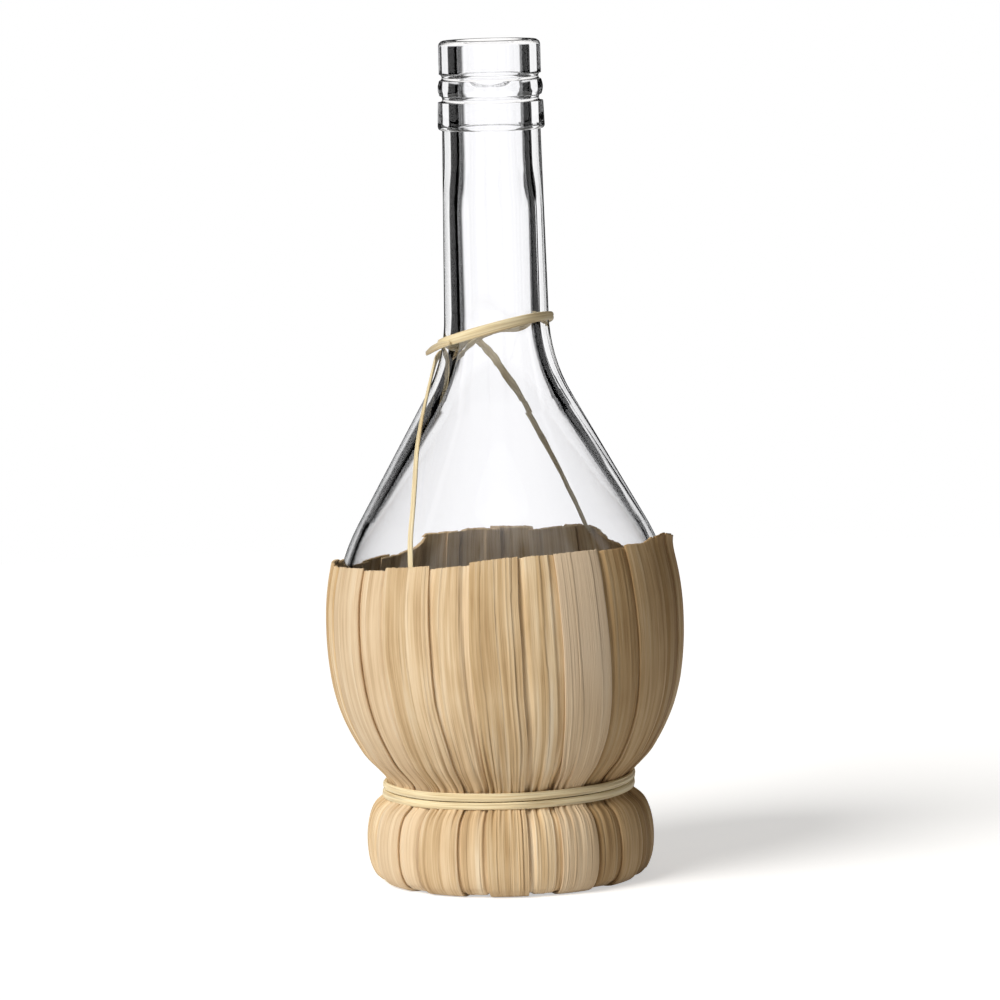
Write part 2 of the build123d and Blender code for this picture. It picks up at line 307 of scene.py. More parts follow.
def new_material(name):
    """A material with a Principled shader on its output, its tree and that shader."""
    material = bpy.data.materials.new(name)
    material.use_nodes = True
    tree = material.node_tree
    return material, tree, tree.nodes["Principled BSDF"]


# Materials

def fibre_parts(tree):
    """The place across and along the leaf in millimetres, its number, and its colour values with
    painted shade.
    """
    leaf = tree.nodes.new("ShaderNodeAttribute")
    leaf.attribute_name = "leaf"
    tone_and_shade = tree.nodes.new("ShaderNodeAttribute")
    tone_and_shade.attribute_name = "tone_and_shade"
    leaf_parts = add(tree, "ShaderNodeSeparateXYZ", Vector=leaf.outputs["Vector"])
    tone_parts = add(tree, "ShaderNodeSeparateXYZ", Vector=tone_and_shade.outputs["Vector"])
    return tuple(leaf_parts.outputs) + tuple(tone_parts.outputs)


def husk_material():
    """Dry leaf husk: lengthwise fibres, streaks and fine dark splits on tan to cream; painted shade
    in folds.
    """
    material, tree, shader = new_material("husk_leaf")
    across, along, number, light, pink, painted_hollow_shade = fibre_parts(tree)
    fine = noise_of(tree, stretched(tree, across, along, number, 2.6, 0.05), 3.0, 0.6)
    streak = noise_of(tree, stretched(tree, across, along, number, 0.7, 0.014))
    patch = noise_of(tree, stretched(tree, across, along, number, 0.14, 0.05))
    split = noise_of(tree, stretched(tree, across, along, number, 2.1, 0.022), 1.0)
    vein = noise_of(tree, stretched(tree, across, along, number, 5.5, 0.09), 1.0)
    level = maths(tree, "MULTIPLY_ADD", streak, 1.1, maths(tree, "MULTIPLY", fine, 0.6))
    level = maths(tree, "ADD", level, maths(tree, "MULTIPLY_ADD", patch, 0.6, -0.65))
    colour = ramp(tree, level, *husk_shades)
    colour = mixed(tree, pink, colour, husk_pink)
    colour = mixed(tree, ease(tree, split, 0.33, 0.24, 0.0, 0.5), colour, husk_split)
    colour = mixed(tree, ease(tree, vein, 0.30, 0.16, 0.0, 0.3), colour, husk_vein)
    # Painted shade: the pleats and creases are darkened towards deep brown
    colour = mixed(tree, maths(tree, "MULTIPLY", painted_hollow_shade, 0.6), colour, husk_painted_shade)
    # Lower brightness makes the colour darker and browner; on the strips at the right this is
    # painted shade
    tint_with_shade = add(tree, "ShaderNodeCombineXYZ", X=light, Y=maths(tree, "POWER", light, 1.25),
               Z=maths(tree, "POWER", light, 1.7)).outputs[0]
    colour = mixed(tree, 1.0, colour, tint_with_shade, "MULTIPLY")
    plug(tree, colour, shader.inputs["Base Color"])
    plug(tree, ease(tree, fine, 0.3, 0.7, 0.78, 0.58), shader.inputs["Roughness"])
    shader.inputs["Specular IOR Level"].default_value = 0.3
    relief = maths(tree, "MULTIPLY_ADD", vein, 0.35, fine)
    relief = maths(tree, "ADD", relief, maths(tree, "MULTIPLY", split, 0.5))
    bump = add(tree, "ShaderNodeBump", Height=relief, Distance=0.00025, Strength=0.6)
    plug(tree, bump.outputs[0], shader.inputs["Normal"])
    return material


def raffia_material():
    """Raffia: a thin dry ribbon of fine parallel fibres, pale where it lies flat, with painted
    shade in its grooves.
    """
    material, tree, shader = new_material("raffia_fibre")
    across, along, number, _, age, painted_hollow_shade = fibre_parts(tree)
    fine = noise_of(tree, stretched(tree, across, along, number, 4.5, 0.10))
    streak = noise_of(tree, stretched(tree, across, along, number, 1.4, 0.045))
    level = maths(tree, "MULTIPLY_ADD", fine, 0.6, maths(tree, "MULTIPLY", streak, 0.6))
    colour = ramp(tree, level, *raffia_shades)
    colour = mixed(tree, age, colour, raffia_grey)
    # Painted shade: the grooves are darkened towards brown
    colour = mixed(tree, maths(tree, "MULTIPLY", painted_hollow_shade, 0.5), colour, raffia_painted_shade)
    plug(tree, colour, shader.inputs["Base Color"])
    shader.inputs["Roughness"].default_value = 0.55
    shader.inputs["Specular IOR Level"].default_value = 0.45
    bump = add(tree, "ShaderNodeBump", Height=fine, Distance=0.00015, Strength=0.5)
    plug(tree, bump.outputs[0], shader.inputs["Normal"])
    return material


def straw_material():
    """Bundled straw: smooth golden stalks with darker streaks."""
    material, tree, shader = new_material("straw_stalk")
    across, along, number = fibre_parts(tree)[:3]
    fine = noise_of(tree, stretched(tree, across, along, number, 3.0, 0.05))
    plug(tree, ramp(tree, fine, *straw_shades), shader.inputs["Base Color"])
    shader.inputs["Roughness"].default_value = 0.45
    bump = add(tree, "ShaderNodeBump", Height=fine, Distance=0.0002, Strength=0.4)
    plug(tree, bump.outputs[0], shader.inputs["Normal"])
    return material


def glass_material():
    """Clear glass with painted shade, dark grey where it is seen edge on, that lets part of a
    lamp's light through.
    """
    material, tree, shader = new_material("flask_glass")
    # Painted shade: the colour turns dark grey where the glass is seen edge on
    facing = tree.nodes.new("ShaderNodeLayerWeight").outputs["Facing"]
    edge = ease(tree, facing, 0.70, 0.95)
    colour = mixed(tree, edge, glass_clear, glass_edge_shade)
    plug(tree, colour, shader.inputs["Base Color"])
    shader.inputs["Transmission Weight"].default_value = 1.0
    shader.inputs["Roughness"].default_value = 0.0
    shader.inputs["IOR"].default_value = 1.5
    clear = tree.nodes.new("ShaderNodeBsdfTransparent")
    clear.inputs[0].default_value = glass_shadow
    path = tree.nodes.new("ShaderNodeLightPath")
    both = tree.nodes.new("ShaderNodeMixShader")
    plug(tree, path.outputs["Is Shadow Ray"], both.inputs[0])
    plug(tree, shader.outputs[0], both.inputs[1])
    plug(tree, clear.outputs[0], both.inputs[2])
    plug(tree, both.outputs[0], tree.nodes["Material Output"].inputs[0])
    return material


# Shapes shared by the basket's pieces

shoulder_centre = (body_radius - shoulder_radius, equator_height)
side_centre = (body_radius - side_radius, equator_height)
side_low = (side_centre[0] + side_radius * cos(radians(side_turn)),
            side_centre[1] - side_radius * sin(radians(side_turn)))
base_centre = (side_low[0] - base_radius * cos(radians(side_turn)),
               side_low[1] + base_radius * sin(radians(side_turn)))
cone_low = (shoulder_centre[0] + shoulder_radius * cos(radians(cone_angle)),
            shoulder_centre[1] + shoulder_radius * sin(radians(cone_angle)))
flare_centre_radius = neck_low_radius + flare_radius
cone_high_radius = flare_centre_radius - flare_radius * cos(radians(cone_angle))
cone_high_height = cone_low[1] + (cone_low[0] - cone_high_radius) / tan(radians(cone_angle))
flare_height = cone_high_height + flare_radius * sin(radians(cone_angle))


def flask_radius(height):
    """Outer radius of the flask at a height between its base arc and its finish."""
    if height > flare_height:
        share = (height - flare_height) / (finish_height - flare_height)
        return neck_low_radius + (neck_top_radius - neck_low_radius) * share
    if height > cone_high_height:
        return flare_centre_radius - sqrt(flare_radius ** 2 - (flare_height - height) ** 2)
    if height > cone_low[1]:
        return cone_low[0] - (height - cone_low[1]) * tan(radians(cone_angle))
    if height > equator_height:
        return shoulder_centre[0] + sqrt(shoulder_radius ** 2 - (height - equator_height) ** 2)
    return side_centre[0] + sqrt(side_radius ** 2 - (equator_height - height) ** 2)


def through(points, steps=12):
    """A smooth line through points, with a number of steps between each two."""
    padded = [points[0]] + list(points) + [points[-1]]
    line = []
    for a, b, c, d in zip(padded, padded[1:], padded[2:], padded[3:]):
        a, b, c, d = (np.array(p, float) for p in (a, b, c, d))
        for step in range(steps):
            t = step / steps
            line.append(0.5 * (2 * b + (c - a) * t + (2 * a - 5 * b + 4 * c - d) * t ** 2
                               + (3 * b - a - 3 * c + d) * t ** 3))
    line.append(np.array(points[-1], float))
    return np.array(line)


def husk_points():
    """The basket's inner face, as (radius, height), from above the rim to the curl in the foot."""
    points = []
    for height in range(int(husk_reach) + 2, int(side_low[1]), -4):
        reach = max(0.0, (height - equator_height) / (husk_reach - equator_height))
        points.append((flask_radius(height) + husk_clearance + rim_standoff * reach ** 1.5, height))
    for turn in range(12, 40, 5):
        reach = base_radius + husk_clearance
        points.append((base_centre[0] + reach * cos(radians(turn)),
                       base_centre[1] - reach * sin(radians(turn))))
    points += [(waist_radius + 1.0, waist_height + 4.2), (waist_radius, waist_height + 1.3),
               (waist_radius, waist_height - 1.3), (waist_radius + 1.6, waist_height - 3.9),
               (foot_radius - 2.1, 20.8), (foot_radius - 0.7, 17.6), (foot_radius, 13.2),
               (foot_radius - 0.1, 8.5), (foot_radius - 0.9, 5.0), (foot_edge_radius + 1.4, 2.5),
               (foot_edge_radius - 1.0, husk_stack), (30.0, husk_stack), (26.6, husk_stack),
               (foot_hole_radius + 0.2, husk_stack + 0.8), (foot_hole_radius, 4.5),
               (foot_hole_radius, foot_curl_height)]
    return points


class Line:
    """The basket's line with its outward normals, read by length from its top."""

    def __init__(self, points):
        dense = through(points)
        run = np.concatenate([[0], np.cumsum(np.linalg.norm(np.diff(dense, axis=0), axis=1))])
        self.length = run[-1]
        self.steps = np.linspace(0, self.length, int(self.length / 0.35))
        self.radius = np.interp(self.steps, run, dense[:, 0])
        self.height = np.interp(self.steps, run, dense[:, 1])
        turn_radius = np.gradient(self.radius, self.steps)
        turn_height = np.gradient(self.height, self.steps)
        size = np.hypot(turn_radius, turn_height)
        soft = np.ones(9) / 9
        lean = np.convolve(np.pad(-turn_height / size, 4, "edge"), soft, "valid")
        rise = np.convolve(np.pad(turn_radius / size, 4, "edge"), soft, "valid")
        size = np.hypot(lean, rise)
        self.lean = lean / size
        self.rise = rise / size

    def at(self, along):
        """Radius, height and outward normal at lengths from the top."""
        return tuple(np.interp(along, self.steps, v)
                     for v in (self.radius, self.height, self.lean, self.rise))

    def where(self, height):
        """The length at which the line's upper stretch passes a height."""
        upper = self.steps < self.length * 0.5
        return float(np.interp(-height, -self.height[upper], self.steps[upper]))


def drift(rng, along, size, spacing):
    """A smooth random wander along a length."""
    count = int(along.max() / spacing) + 3
    knots = np.arange(count) * spacing
    values = rng.normal(0, size, count)
    fine = np.interp(along, knots, values)
    kernel = np.hanning(9)
    kernel /= kernel.sum()
    return np.convolve(np.pad(fine, 4, "edge"), kernel, "valid")


def sheet_faces(rows, columns, start, turned):
    """The four-sided faces of a grid of points."""
    a = (np.arange(rows - 1)[:, None] * columns + np.arange(columns - 1)[None, :]).ravel() + start
    corners = (a, a + 1, a + columns + 1, a + columns) if turned else (a, a + columns,
                                                                       a + columns + 1, a + 1)
    return np.stack(corners, axis=1)


def shell(name, outer, inner, leaf, tone_and_shade, material):
    """A closed thin piece between two grids of points, with its fibre values and its colour values
    with painted shade.
    """
    rows, columns = outer.shape[:2]
    count = rows * columns
    points = np.concatenate([outer.reshape(-1, 3), inner.reshape(-1, 3)]) * mm
    edge = np.concatenate([np.arange(columns), np.arange(1, rows) * columns + columns - 1,
                           (rows - 1) * columns + np.arange(columns - 2, -1, -1),
                           np.arange(rows - 2, 0, -1) * columns])
    after = np.roll(edge, -1)
    band = np.stack([edge, after, after + count, edge + count], axis=1)
    faces = np.concatenate([sheet_faces(rows, columns, 0, False),
                            sheet_faces(rows, columns, count, True), band])
    return mesh_piece(name, points, faces.tolist(), np.concatenate([leaf.reshape(-1, 3)] * 2),
                      np.concatenate([tone_and_shade.reshape(-1, 3)] * 2), material)


def mesh_piece(name, points, faces, leaf, tone_and_shade, material):
    """An object from points and faces, smooth, with its values for the fibre materials."""
    mesh = bpy.data.meshes.new(name)
    mesh.from_pydata([tuple(p) for p in points], [], faces)
    for label, values in (("leaf", leaf), ("tone_and_shade", tone_and_shade)):
        layer = mesh.attributes.new(label, "FLOAT_VECTOR", "POINT")
        layer.data.foreach_set("vector", np.ascontiguousarray(values, dtype=np.float32).ravel())
    mesh.polygons.foreach_set("use_smooth", [True] * len(mesh.polygons))
    mesh.materials.append(material)
    mesh.update()
    piece = bpy.data.objects.new(name, mesh)
    bpy.context.scene.collection.objects.link(piece)
    return piece


# Husk strips

def rim_at(angles):
    """The rim's height at angles round the basket."""
    ring = [(angle + turn, height) for turn in (-360, 0, 360) for angle, height in rim_line]
    places, heights = zip(*sorted(ring))
    return np.interp(angles, places, heights)


def smooth(values, low, high):
    """A smooth step from 0 to 1 between two levels."""
    share = np.clip((values - low) / (high - low), 0, 1)
    return share * share * (3 - 2 * share)


def fine_ribs(rng, x, run, coarse):
    """The leaf's ribs: low ridges along its length, at uneven spacing."""
    relief = np.zeros((run.size, x.size))
    place = -leaf_half_width + rng.uniform(0.2, 0.8)
    while place < leaf_half_width:
        centre = place + drift(rng, run, 0.12, 25.0)[:, None]
        width = rng.uniform(0.22, 0.5)
        tall = rng.uniform(0.02, 0.06) * coarse * (2.4 if rng.random() < 0.12 else 1.0)
        relief += tall * np.exp(-((x - centre) / width) ** 2)
        place += rng.uniform(0.9, 2.0)
    return relief


def leaf_folds(rng, x, run, coarse):
    """Long folds in the leaf: each panel leans a little and steps down to the next one."""
    relief = np.zeros((run.size, x.size))
    light = np.zeros_like(relief)
    crease = np.zeros_like(relief)
    left = -leaf_half_width - 0.5
    while left < leaf_half_width:
        width = rng.uniform(2.2, 6.5)
        start = left + drift(rng, run, 0.25, 30.0)[:, None]
        inside = (x >= start) & (x < start + width)
        relief += inside * (x - start) / width * rng.uniform(0.1, 0.3) * coarse
        light += inside * rng.normal(0, 0.05) * coarse
        strength = smooth(drift(rng, run, 1.0, 18.0), -0.3, 1.0)[:, None]
        strength = strength * rng.uniform(0.2, 1.0) * coarse
        crease += np.exp(-((x - start) / 0.16) ** 2) * strength
        left += width
    return relief - crease_depth * crease, light, crease


def waist_pleats(rng, side, above_waist, count):
    """Narrow folds that run up and down from the waist, where the strip is gathered."""
    pleats = np.zeros(np.broadcast(side, above_waist).shape)
    for fold in np.linspace(-0.8, 0.8, count) + rng.uniform(-0.1, 0.1, count):
        reach = rng.uniform(7, 17) * (1.8 if rng.random() < 0.3 else 1.0)
        depth = rng.uniform(0.55, 1.1)
        fade = np.where(above_waist > 0, np.exp(-(above_waist / reach) ** 2),
                        np.exp(-(above_waist / 6.5) ** 2))
        place = fold + 0.05 * np.sin(above_waist / 9 + fold * 5)
        wide = 0.045 + 0.06 * fade
        pleats += depth * fade * np.clip(1 - np.abs(side - place) / wide, 0, 1)
    return np.clip(pleats, 0, 1.1)


def husk_strip(layer, number, line, material):
    """One leaf of husk: ribbed along its length, gathered at the waist, tucked under the foot."""
    name = f"{layer}_husk_{number:02d}"
    outer_layer = layer == "outer"
    rng = np.random.default_rng(100 * number + (7 if outer_layer else 3))
    chance = (0.95 + rng.normal(0, 0.07), np.clip(rng.normal(0.1, 0.2), 0, 0.6),
              rng.uniform(0.5, 1.2))
    lightness_with_shade, pinkness, coarse = strip_looks.get(name, chance)
    angle = first_strip_angle + 360 / strip_count * (number - 1 + (0.0 if outer_layer else 0.5))
    share_of_width = (outer_width_shares if outer_layer else inner_width_shares)[number - 1]
    width_angle = (outer_angle if outer_layer else inner_angle) * share_of_width
    side = np.linspace(-1, 1, leaf_columns)[None, :]
    x = side * leaf_half_width
    run = np.linspace(0, line.length, leaf_rows)
    edges = np.where(side < 0, drift(rng, run, 0.03, 14.0)[:, None],
                     drift(rng, run, 0.03, 14.0)[:, None])
    offset = drift(rng, run, 0.3, 40.0)[:, None] + width_angle / 2 * (1 + edges) * side

    top = rim_at(angle + width_angle / 2 * side[0]) + rng.normal(0, 0.07, leaf_columns)
    top += rng.normal(0, 0.15) - (0.0 if outer_layer else inner_drop)
    start = np.array([line.where(z) for z in top])[None, :]
    along = start + (line.length - start) * (np.linspace(0, 1, leaf_rows) ** 1.06)[:, None]
    radius, height, lean, rise = line.at(along)
    below_rim = along - start
    above_waist = height - waist_height
    angles = angle + offset + waist_twist * smooth(-above_waist, -60, 0)

    folds, panel_light, crease = leaf_folds(rng, x, run, coarse)
    relief = fine_ribs(rng, x, run, coarse) + folds
    tied = 1 - 0.8 * np.exp(-(above_waist / 2.2) ** 2)
    gather = np.exp(-np.clip(np.abs(above_waist) - 2.0, 0, None) / 8.0) * tied
    pleats = waist_pleats(rng, side, above_waist, rng.integers(4, 6)) * tied
    billow = 0.5 * gather * np.cos(side * pi * rng.uniform(1.5, 2.5) + rng.uniform(0, 6)) ** 2
    flat = height < foot_flat_height
    if outer_layer:
        base = np.full_like(along, husk_thickness + 0.08)
        edge_drop = edge_thinning * np.abs(side) ** 6
        lift = 0.22 * rng.random() * np.abs(side) ** 8 * smooth(below_rim, 0, 10) * tied
        outer_depth = husk_stack - edge_drop + lift
    else:
        base = np.zeros_like(along)
        lift = 0.0
        in_gap = smooth(-np.abs(offset), -5.3, -4.0) * np.where(flat, 0.6, 1.0)
        outer_depth = husk_thickness + 0.62 * in_gap * tied
        billow = billow * in_gap
        relief = relief * (0.25 + 0.75 * in_gap)
        base = base + 0.5 * in_gap * tied
    lip = lip_depth * np.exp(-below_rim / 2.0) * smooth(angles, -30, -24) * smooth(-angles, -2, 6)
    outer_depth = outer_depth + relief * tied + billow - pleats * pleat_depth + lip
    outer_depth = np.maximum(outer_depth, base + 0.15 - 0.1 * np.abs(side))
    flat_depth = husk_stack if outer_layer else inner_flat_depth
    outer_depth = np.where(flat, np.minimum(outer_depth, flat_depth), outer_depth)
    inner_depth = np.minimum(base + billow * 0.6 + lift + lip * 0.8, outer_depth - least_thickness)
    if outer_layer:
        inner_depth = np.maximum(inner_depth, husk_thickness * 0.9)

    turn = np.radians(angles)

    def grid(depth):
        reach = radius + lean * depth
        return np.stack([reach * np.cos(turn), reach * np.sin(turn),
                         np.maximum(height + rise * depth, 0.0)], axis=-1)

    leaf = np.stack([np.broadcast_to(x, along.shape), along,
                     np.full_like(along, number + 20 * outer_layer)], axis=-1)
    # How strong the painted shade is: strong in the waist's pleats and the leaf's creases
    painted_hollow_shade = np.clip(pleats * 1.1 + crease * 0.8, 0, 1)
    fading = pinkness - max(0.0, pinkness - 0.45) * smooth(below_rim, 25, 55)
    tone_and_shade = np.stack([lightness_with_shade + panel_light, fading, painted_hollow_shade], axis=-1)
    return shell(f"{name}_leaf", grid(outer_depth), grid(inner_depth), leaf, tone_and_shade, material)


# Raffia

def ribbon(name, path, normals, widths, thickness, number, material, ages=None):
    """A flat raffia ribbon along a path: grooved on its faces, with its width set point by point
    and, where they are given, its greyness with age too."""
    path = np.array(path, float)
    run = np.concatenate([[0], np.cumsum(np.linalg.norm(np.diff(path, axis=0), axis=1))])
    way = np.gradient(path, axis=0)
    way /= np.linalg.norm(way, axis=1)[:, None]
    out = np.array(normals, float)
    out -= way * (out * way).sum(axis=1)[:, None]
    out /= np.linalg.norm(out, axis=1)[:, None]
    across = np.cross(way, out)
    rng = np.random.default_rng(number)
    columns = ribbon_columns
    turn = np.linspace(0, 2 * pi, columns, endpoint=False)
    flat = np.sign(np.cos(turn)) * np.abs(np.cos(turn)) ** 0.8
    thick = np.sign(np.sin(turn)) * np.abs(np.sin(turn)) ** 0.7
    grooves = np.zeros((len(path), columns))
    for groove in np.linspace(-0.8, 0.8, 6) + rng.normal(0, 0.06, 6):
        centre = groove + drift(rng, run, 0.05, 12.0)
        grooves += np.exp(-((flat[None, :] - centre[:, None]) / 0.07) ** 2)
    grooves = np.clip(grooves, 0, 1)
    depth = thick[None, :] * (thickness / 2) * (1 - groove_depth * grooves)
    reach = flat[None, :] * np.array(widths)[:, None] / 2
    points = (path[:, None, :] + across[:, None, :] * reach[..., None]
              + out[:, None, :] * depth[..., None])
    rows = len(path)
    faces = []
    for row in range(rows - 1):
        for column in range(columns):
            after = (column + 1) % columns
            faces.append((row * columns + column, row * columns + after,
                          (row + 1) * columns + after, (row + 1) * columns + column))
    faces.append(tuple(range(columns - 1, -1, -1)))
    faces.append(tuple((rows - 1) * columns + c for c in range(columns)))
    leaf = np.stack([reach + 0.4 * depth, np.broadcast_to(run[:, None], reach.shape),
                     np.full_like(reach, number)], axis=-1)
    ages = np.zeros(rows) if ages is None else np.array(ages)
    # Colour values: plain brightness, age, and painted shade in the grooves
    tone_and_shade = np.stack([np.ones_like(reach), np.broadcast_to(ages[:, None], reach.shape), grooves],
                    axis=-1)
    return mesh_piece(name, points.reshape(-1, 3) * mm, faces, leaf.reshape(-1, 3),
                      tone_and_shade.reshape(-1, 3), material)


def around(angle, radius, height):
    """A point from its angle round the flask, its radius and its height."""
    return (radius * cos(radians(angle)), radius * sin(radians(angle)), height)


def waist_tie(material):
    """Two turns of raffia round the waist, with their lifted ends bound together at the back."""
    points = []
    steps = 8 * tie_turns
    for step in range(steps + 1):
        share = 1 - 2 * step / steps
        radius = tie_line_radius + tie_end_lift * share ** 8 - tie_sink
        height = waist_height + tie_pitch * tie_turns / 2 * share
        points.append(around(tie_start_angle - 360 * tie_turns * step / steps, radius, height))
    path = through(points, 16)
    outward = path * (1, 1, 0)
    rng = np.random.default_rng(5)
    run = np.arange(len(path)) * 1.75
    widths = tie_width + drift(rng, run, 0.14, 30.0)
    tie = ribbon("waist_tie_raffia", path, outward, widths, tie_thickness, 51, material)
    join(tie, waist_knot(material))
    return tie


def waist_knot(material):
    """The short binding of raffia that holds the tie's ends, wound over its three strands."""
    winding = np.linspace(-2.2, 4.4 * pi + 0.6, 150)
    share = np.linspace(-1, 1, winding.size)
    angles = np.radians(tie_start_angle - 2.0 + 4.2 * share)
    reach = knot_line_radius + knot_half_depth * np.cos(winding)
    heights = waist_height + knot_half_height * np.sin(winding)
    path = np.stack([reach * np.cos(angles), reach * np.sin(angles), heights], axis=-1)
    middle = np.stack([knot_line_radius * np.cos(angles), knot_line_radius * np.sin(angles),
                       np.full_like(angles, waist_height)], axis=-1)
    widths = 2.3 - 1.0 * share ** 6
    return ribbon("waist_tie_knot", path, path - middle, widths, knot_thickness, 54, material)


def cord_place(angle, climb_share, lift_share):
    """A point of the neck cord between the rim and the loop."""
    height = husk_reach + (loop_height - husk_reach) * climb_share
    radius = flask_radius(height) + cord_line_radius + loop_crossing * lift_share
    return around(angle, radius, height)


def loop_place(turned):
    """A point of the loop round the neck, at an angle turned from its start on the left."""
    angle = 180 - turned
    height = (loop_height + loop_rise_right * cos(radians(angle))
              - loop_rise_front * sin(radians(angle)) + loop_pitch * (turned / 360 - 0.5)
              + first_pass_rise * exp(-((turned - first_pass_turn) / first_pass_spread) ** 2))
    return around(angle, flask_radius(height) + cord_line_radius, height)


def neck_cord(material):
    """The raffia cord: up from the rim, round the neck, and down to the rim behind."""
    points = [cord_place(*p) for p in front_route]
    points += [loop_place(turned) for turned in range(60, 391, 30)]
    points += [cord_place(*p) for p in back_route]
    path = through(points, cord_steps)
    widths = through([(w, 0) for w in front_widths + loop_widths + back_widths], cord_steps)[:, 0]
    outward = path * (1, 1, 0)
    cord = ribbon("neck_cord_raffia", path, outward, widths, cord_thickness, 52, material)
    ends = through([around(*p) for p in tail_route], tail_steps)
    tail_width = through([(w, 0) for w in tail_widths], tail_steps)[:, 0]
    tail = ribbon("neck_cord_tail", ends, ends * (1, 1, 0), tail_width, tail_thickness, 53,
                  material, np.linspace(0.1, 0.75, len(ends)))
    join(cord, tail)
    return cord


def join(piece, other):
    """Joins one mesh into another."""
    with bpy.context.temp_override(active_object=piece, object=piece,
                                   selected_objects=[piece, other],
                                   selected_editable_objects=[piece, other]):
        bpy.ops.object.join()


# Straw ring

def straw_ring(material):
    """The foot's straw, as stalks laid round in a ring under the flask."""
    rng = np.random.default_rng(3)
    pieces_points, pieces_faces, leaves = [], [], []
    around_count, tube_count = 120, 8
    turn = np.linspace(0, 2 * pi, around_count, endpoint=False)
    tube = np.linspace(0, 2 * pi, tube_count, endpoint=False)
    number = 0
    height = straw_low
    while height < straw_high:
        outer = np.interp(height, *zip(*straw_outline))
        radius = straw_hole_radius
        if height >= straw_seat:
            radius = straw_seat_radius + (height - straw_seat) * straw_seat_slope
        while radius < outer - stalk_radius:
            base = number * around_count * tube_count
            phase = rng.uniform(0, 6.28)
            rr = radius + 0.35 * np.sin(turn * 3 + phase)
            zz = height + 0.3 * np.sin(turn * 4 + phase * 2)
            r = rr[:, None] + stalk_radius * np.cos(tube)[None, :]
            z = zz[:, None] + stalk_radius * np.sin(tube)[None, :]
            grid = np.stack([r * np.cos(turn)[:, None], r * np.sin(turn)[:, None], z], axis=-1)
            pieces_points.append(grid.reshape(-1, 3))
            leaf = np.stack([np.broadcast_to(tube[None, :] * stalk_radius, r.shape),
                             np.broadcast_to((turn * radius)[:, None], r.shape),
                             np.full_like(r, number)], axis=-1)
            leaves.append(leaf.reshape(-1, 3))
            for i in range(around_count):
                for j in range(tube_count):
                    a = base + i * tube_count + j
                    b = base + i * tube_count + (j + 1) % tube_count
                    c = base + (i + 1) % around_count * tube_count + (j + 1) % tube_count
                    d = base + (i + 1) % around_count * tube_count + j
                    pieces_faces.append((a, d, c, b))
            number += 1
            radius += 2 * stalk_radius
        height += straw_row_rise * stalk_radius
    points = np.concatenate(pieces_points) * mm
    leaf = np.concatenate(leaves)
    return mesh_piece("foot_straw", points, pieces_faces, leaf, np.ones_like(leaf), material)


# Camera, floor and light

def make_camera():
    """The camera, placed for the photograph's view."""
    data = bpy.data.cameras.new("camera")
    data.lens = camera_lens
    data.sensor_width = 36
    data.clip_end = 20
    camera = bpy.data.objects.new("camera", data)
    look = Matrix.Rotation(radians(90 - camera_drop), 4, "X")
    roll = Matrix.Rotation(radians(-camera_roll), 4, "Z")
    camera.matrix_world = Matrix.Translation(camera_place) @ look @ roll
    bpy.context.scene.collection.objects.link(camera)
    bpy.context.scene.camera = camera


def make_floor():
    """A pale round floor that keeps the object's shadow and reads as white around it."""
    turn = np.linspace(0, 2 * pi, 96, endpoint=False)
    rim = [(floor_radius * cos(a), floor_radius * sin(a), 0) for a in turn]
    mesh = bpy.data.meshes.new("floor")
    mesh.from_pydata(rim, [], [tuple(range(len(rim)))])
    material, tree, shader = new_material("floor_white")
    shader.inputs["Base Color"].default_value = floor_colour
    shader.inputs["Roughness"].default_value = 0.9
    shader.inputs["Specular IOR Level"].default_value = 0.0
    path = tree.nodes.new("ShaderNodeLightPath")
    seen = maths(tree, "MAXIMUM", path.outputs["Is Camera Ray"],
                 maths(tree, "MAXIMUM", path.outputs["Is Glossy Ray"],
                       path.outputs["Is Transmission Ray"]))
    shader.inputs["Emission Color"].default_value = (1, 1, 1, 1)
    plug(tree, maths(tree, "MULTIPLY", seen, floor_glow), shader.inputs["Emission Strength"])
    mesh.materials.append(material)
    floor = bpy.data.objects.new("floor", mesh)
    bpy.context.scene.collection.objects.link(floor)


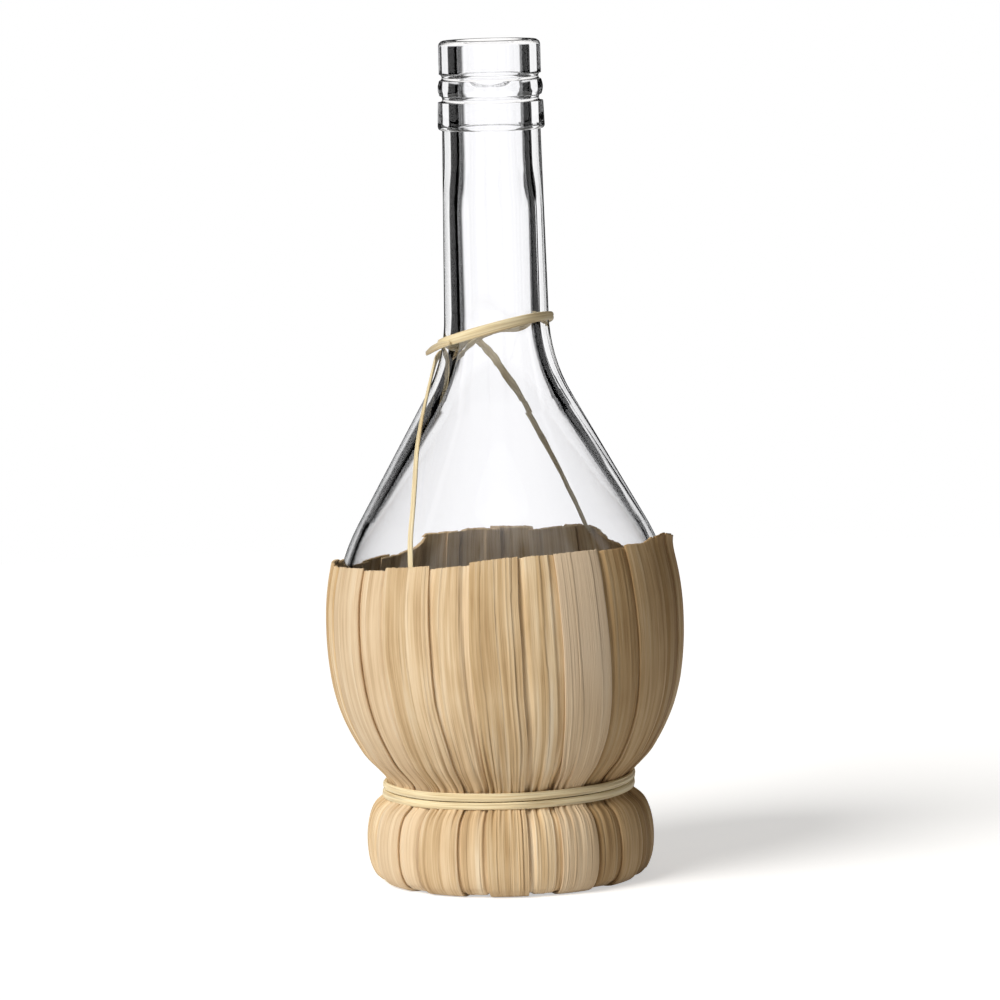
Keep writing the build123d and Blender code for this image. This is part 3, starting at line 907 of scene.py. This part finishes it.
def make_world():
    """White behind the object, an even dim fill for its surfaces, and a studio of pale cards with
    dark gaps that the glass shows: a card on each of the four sides, narrower at the left and
    right, one at each corner on the camera's side, a pale table below and a ceiling."""
    world = bpy.data.worlds.new("studio")
    world.use_nodes = True
    bpy.context.scene.world = world
    tree = world.node_tree
    ground = tree.nodes["Background"]
    way = tree.nodes.new("ShaderNodeTexCoord").outputs["Generated"]
    parts = add(tree, "ShaderNodeSeparateXYZ", Vector=way)
    turn = maths(tree, "ARCTAN2", maths(tree, "MULTIPLY", parts.outputs[0], -1.0), parts.outputs[1])
    azimuth = maths(tree, "MULTIPLY", turn, 180 / pi)
    elevation = maths(tree, "MULTIPLY", maths(tree, "ARCSINE", parts.outputs[2]), 180 / pi)
    folded = maths(tree, "WRAP", azimuth, 45.0, -45.0)

    turned = maths(tree, "ABSOLUTE", azimuth)
    side = maths(tree, "MULTIPLY", ease(tree, turned, 44.0, 46.0), ease(tree, turned, 136.0, 134.0))
    left_edge = ease(tree, elevation, 1.0, 8.0, *card_left_edge)
    left_edge = maths(tree, "MULTIPLY_ADD", side, side_card_left_change, left_edge)
    right_edge = ease(tree, elevation, 0.0, 6.0, *card_right_edge)
    right_edge = maths(tree, "MULTIPLY_ADD", side, side_card_right_change, right_edge)
    left = maths(tree, "SUBTRACT", left_edge, folded)
    right = maths(tree, "SUBTRACT", folded, right_edge)
    left = ease(tree, left, -left_edge_softness, left_edge_softness)
    right = ease(tree, right, -right_edge_softness, right_edge_softness)
    backdrop = maths(tree, "MULTIPLY", left, right)
    ceiling = ease(tree, elevation, 40.0, 55.0, 0.0, ceiling_level)
    table = ease(tree, elevation, -13.0, -9.0, 1.0, 0.0)
    corner = maths(tree, "ABSOLUTE", maths(tree, "SUBTRACT", turned, corner_card_angle))
    corner = ease(tree, corner, 16.0, 24.0, 1.0, 0.0)
    seen_through = maths(tree, "MAXIMUM", maths(tree, "MULTIPLY", backdrop, card_level), ceiling)
    for card in (table, corner):
        seen_through = maths(tree, "MAXIMUM", seen_through, card)

    # What the glass reflects: a dim room on the camera's side, under the same ceiling
    room = ease(tree, turned, 100.0, 115.0, 0.02, room_level)
    reflected = maths(tree, "MAXIMUM", room, ceiling)

    path = tree.nodes.new("ShaderNodeLightPath")
    level = mixed(tree, path.outputs["Is Glossy Ray"], fill_colour, grey(tree, reflected))
    level = mixed(tree, path.outputs["Is Transmission Ray"], level, grey(tree, seen_through))
    level = mixed(tree, path.outputs["Is Camera Ray"], level, (1, 1, 1, 1))
    plug(tree, level, ground.inputs[0])
    ground.inputs[1].default_value = 1.0


def make_sun(name, azimuth, elevation, strength, angle, colour):
    """A broad soft lamp from a direction, with azimuth 0 at the front and 90 at the right."""
    data = bpy.data.lights.new(name, "SUN")
    data.energy = strength
    data.angle = radians(angle)
    data.color = colour
    lamp = bpy.data.objects.new(name, data)
    a, e = radians(azimuth), radians(elevation)
    toward = Vector((sin(a) * cos(e), -cos(a) * cos(e), sin(e)))
    lamp.rotation_mode = "QUATERNION"
    lamp.rotation_quaternion = toward.to_track_quat("Z", "Y")
    lamp.visible_glossy = False
    lamp.visible_transmission = False
    bpy.context.scene.collection.objects.link(lamp)


make_camera()
make_floor()
make_world()
make_sun("key", key_azimuth, key_elevation, key_strength, key_angle, key_colour)
bpy.context.scene.view_settings.view_transform = "Standard"

husk = husk_material()
raffia = raffia_material()
straw = straw_material()
glass = glass_material()

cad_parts["glass_flask"].material_slots[0].material = glass

pieces = {}
line = Line(husk_points())
for i in range(1, strip_count + 1):
    for layer in ("inner", "outer"):
        pieces[f"{layer}_husk_{i:02d}"] = (husk_strip(layer, i, line, husk), "husk")
pieces["waist_tie"] = (waist_tie(raffia), "raffia")
pieces["neck_cord"] = (neck_cord(raffia), "raffia")
pieces["foot_ring"] = (straw_ring(straw), "straw_core")
for node, (piece, slot) in pieces.items():
    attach(piece, "root")
    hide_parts(node)
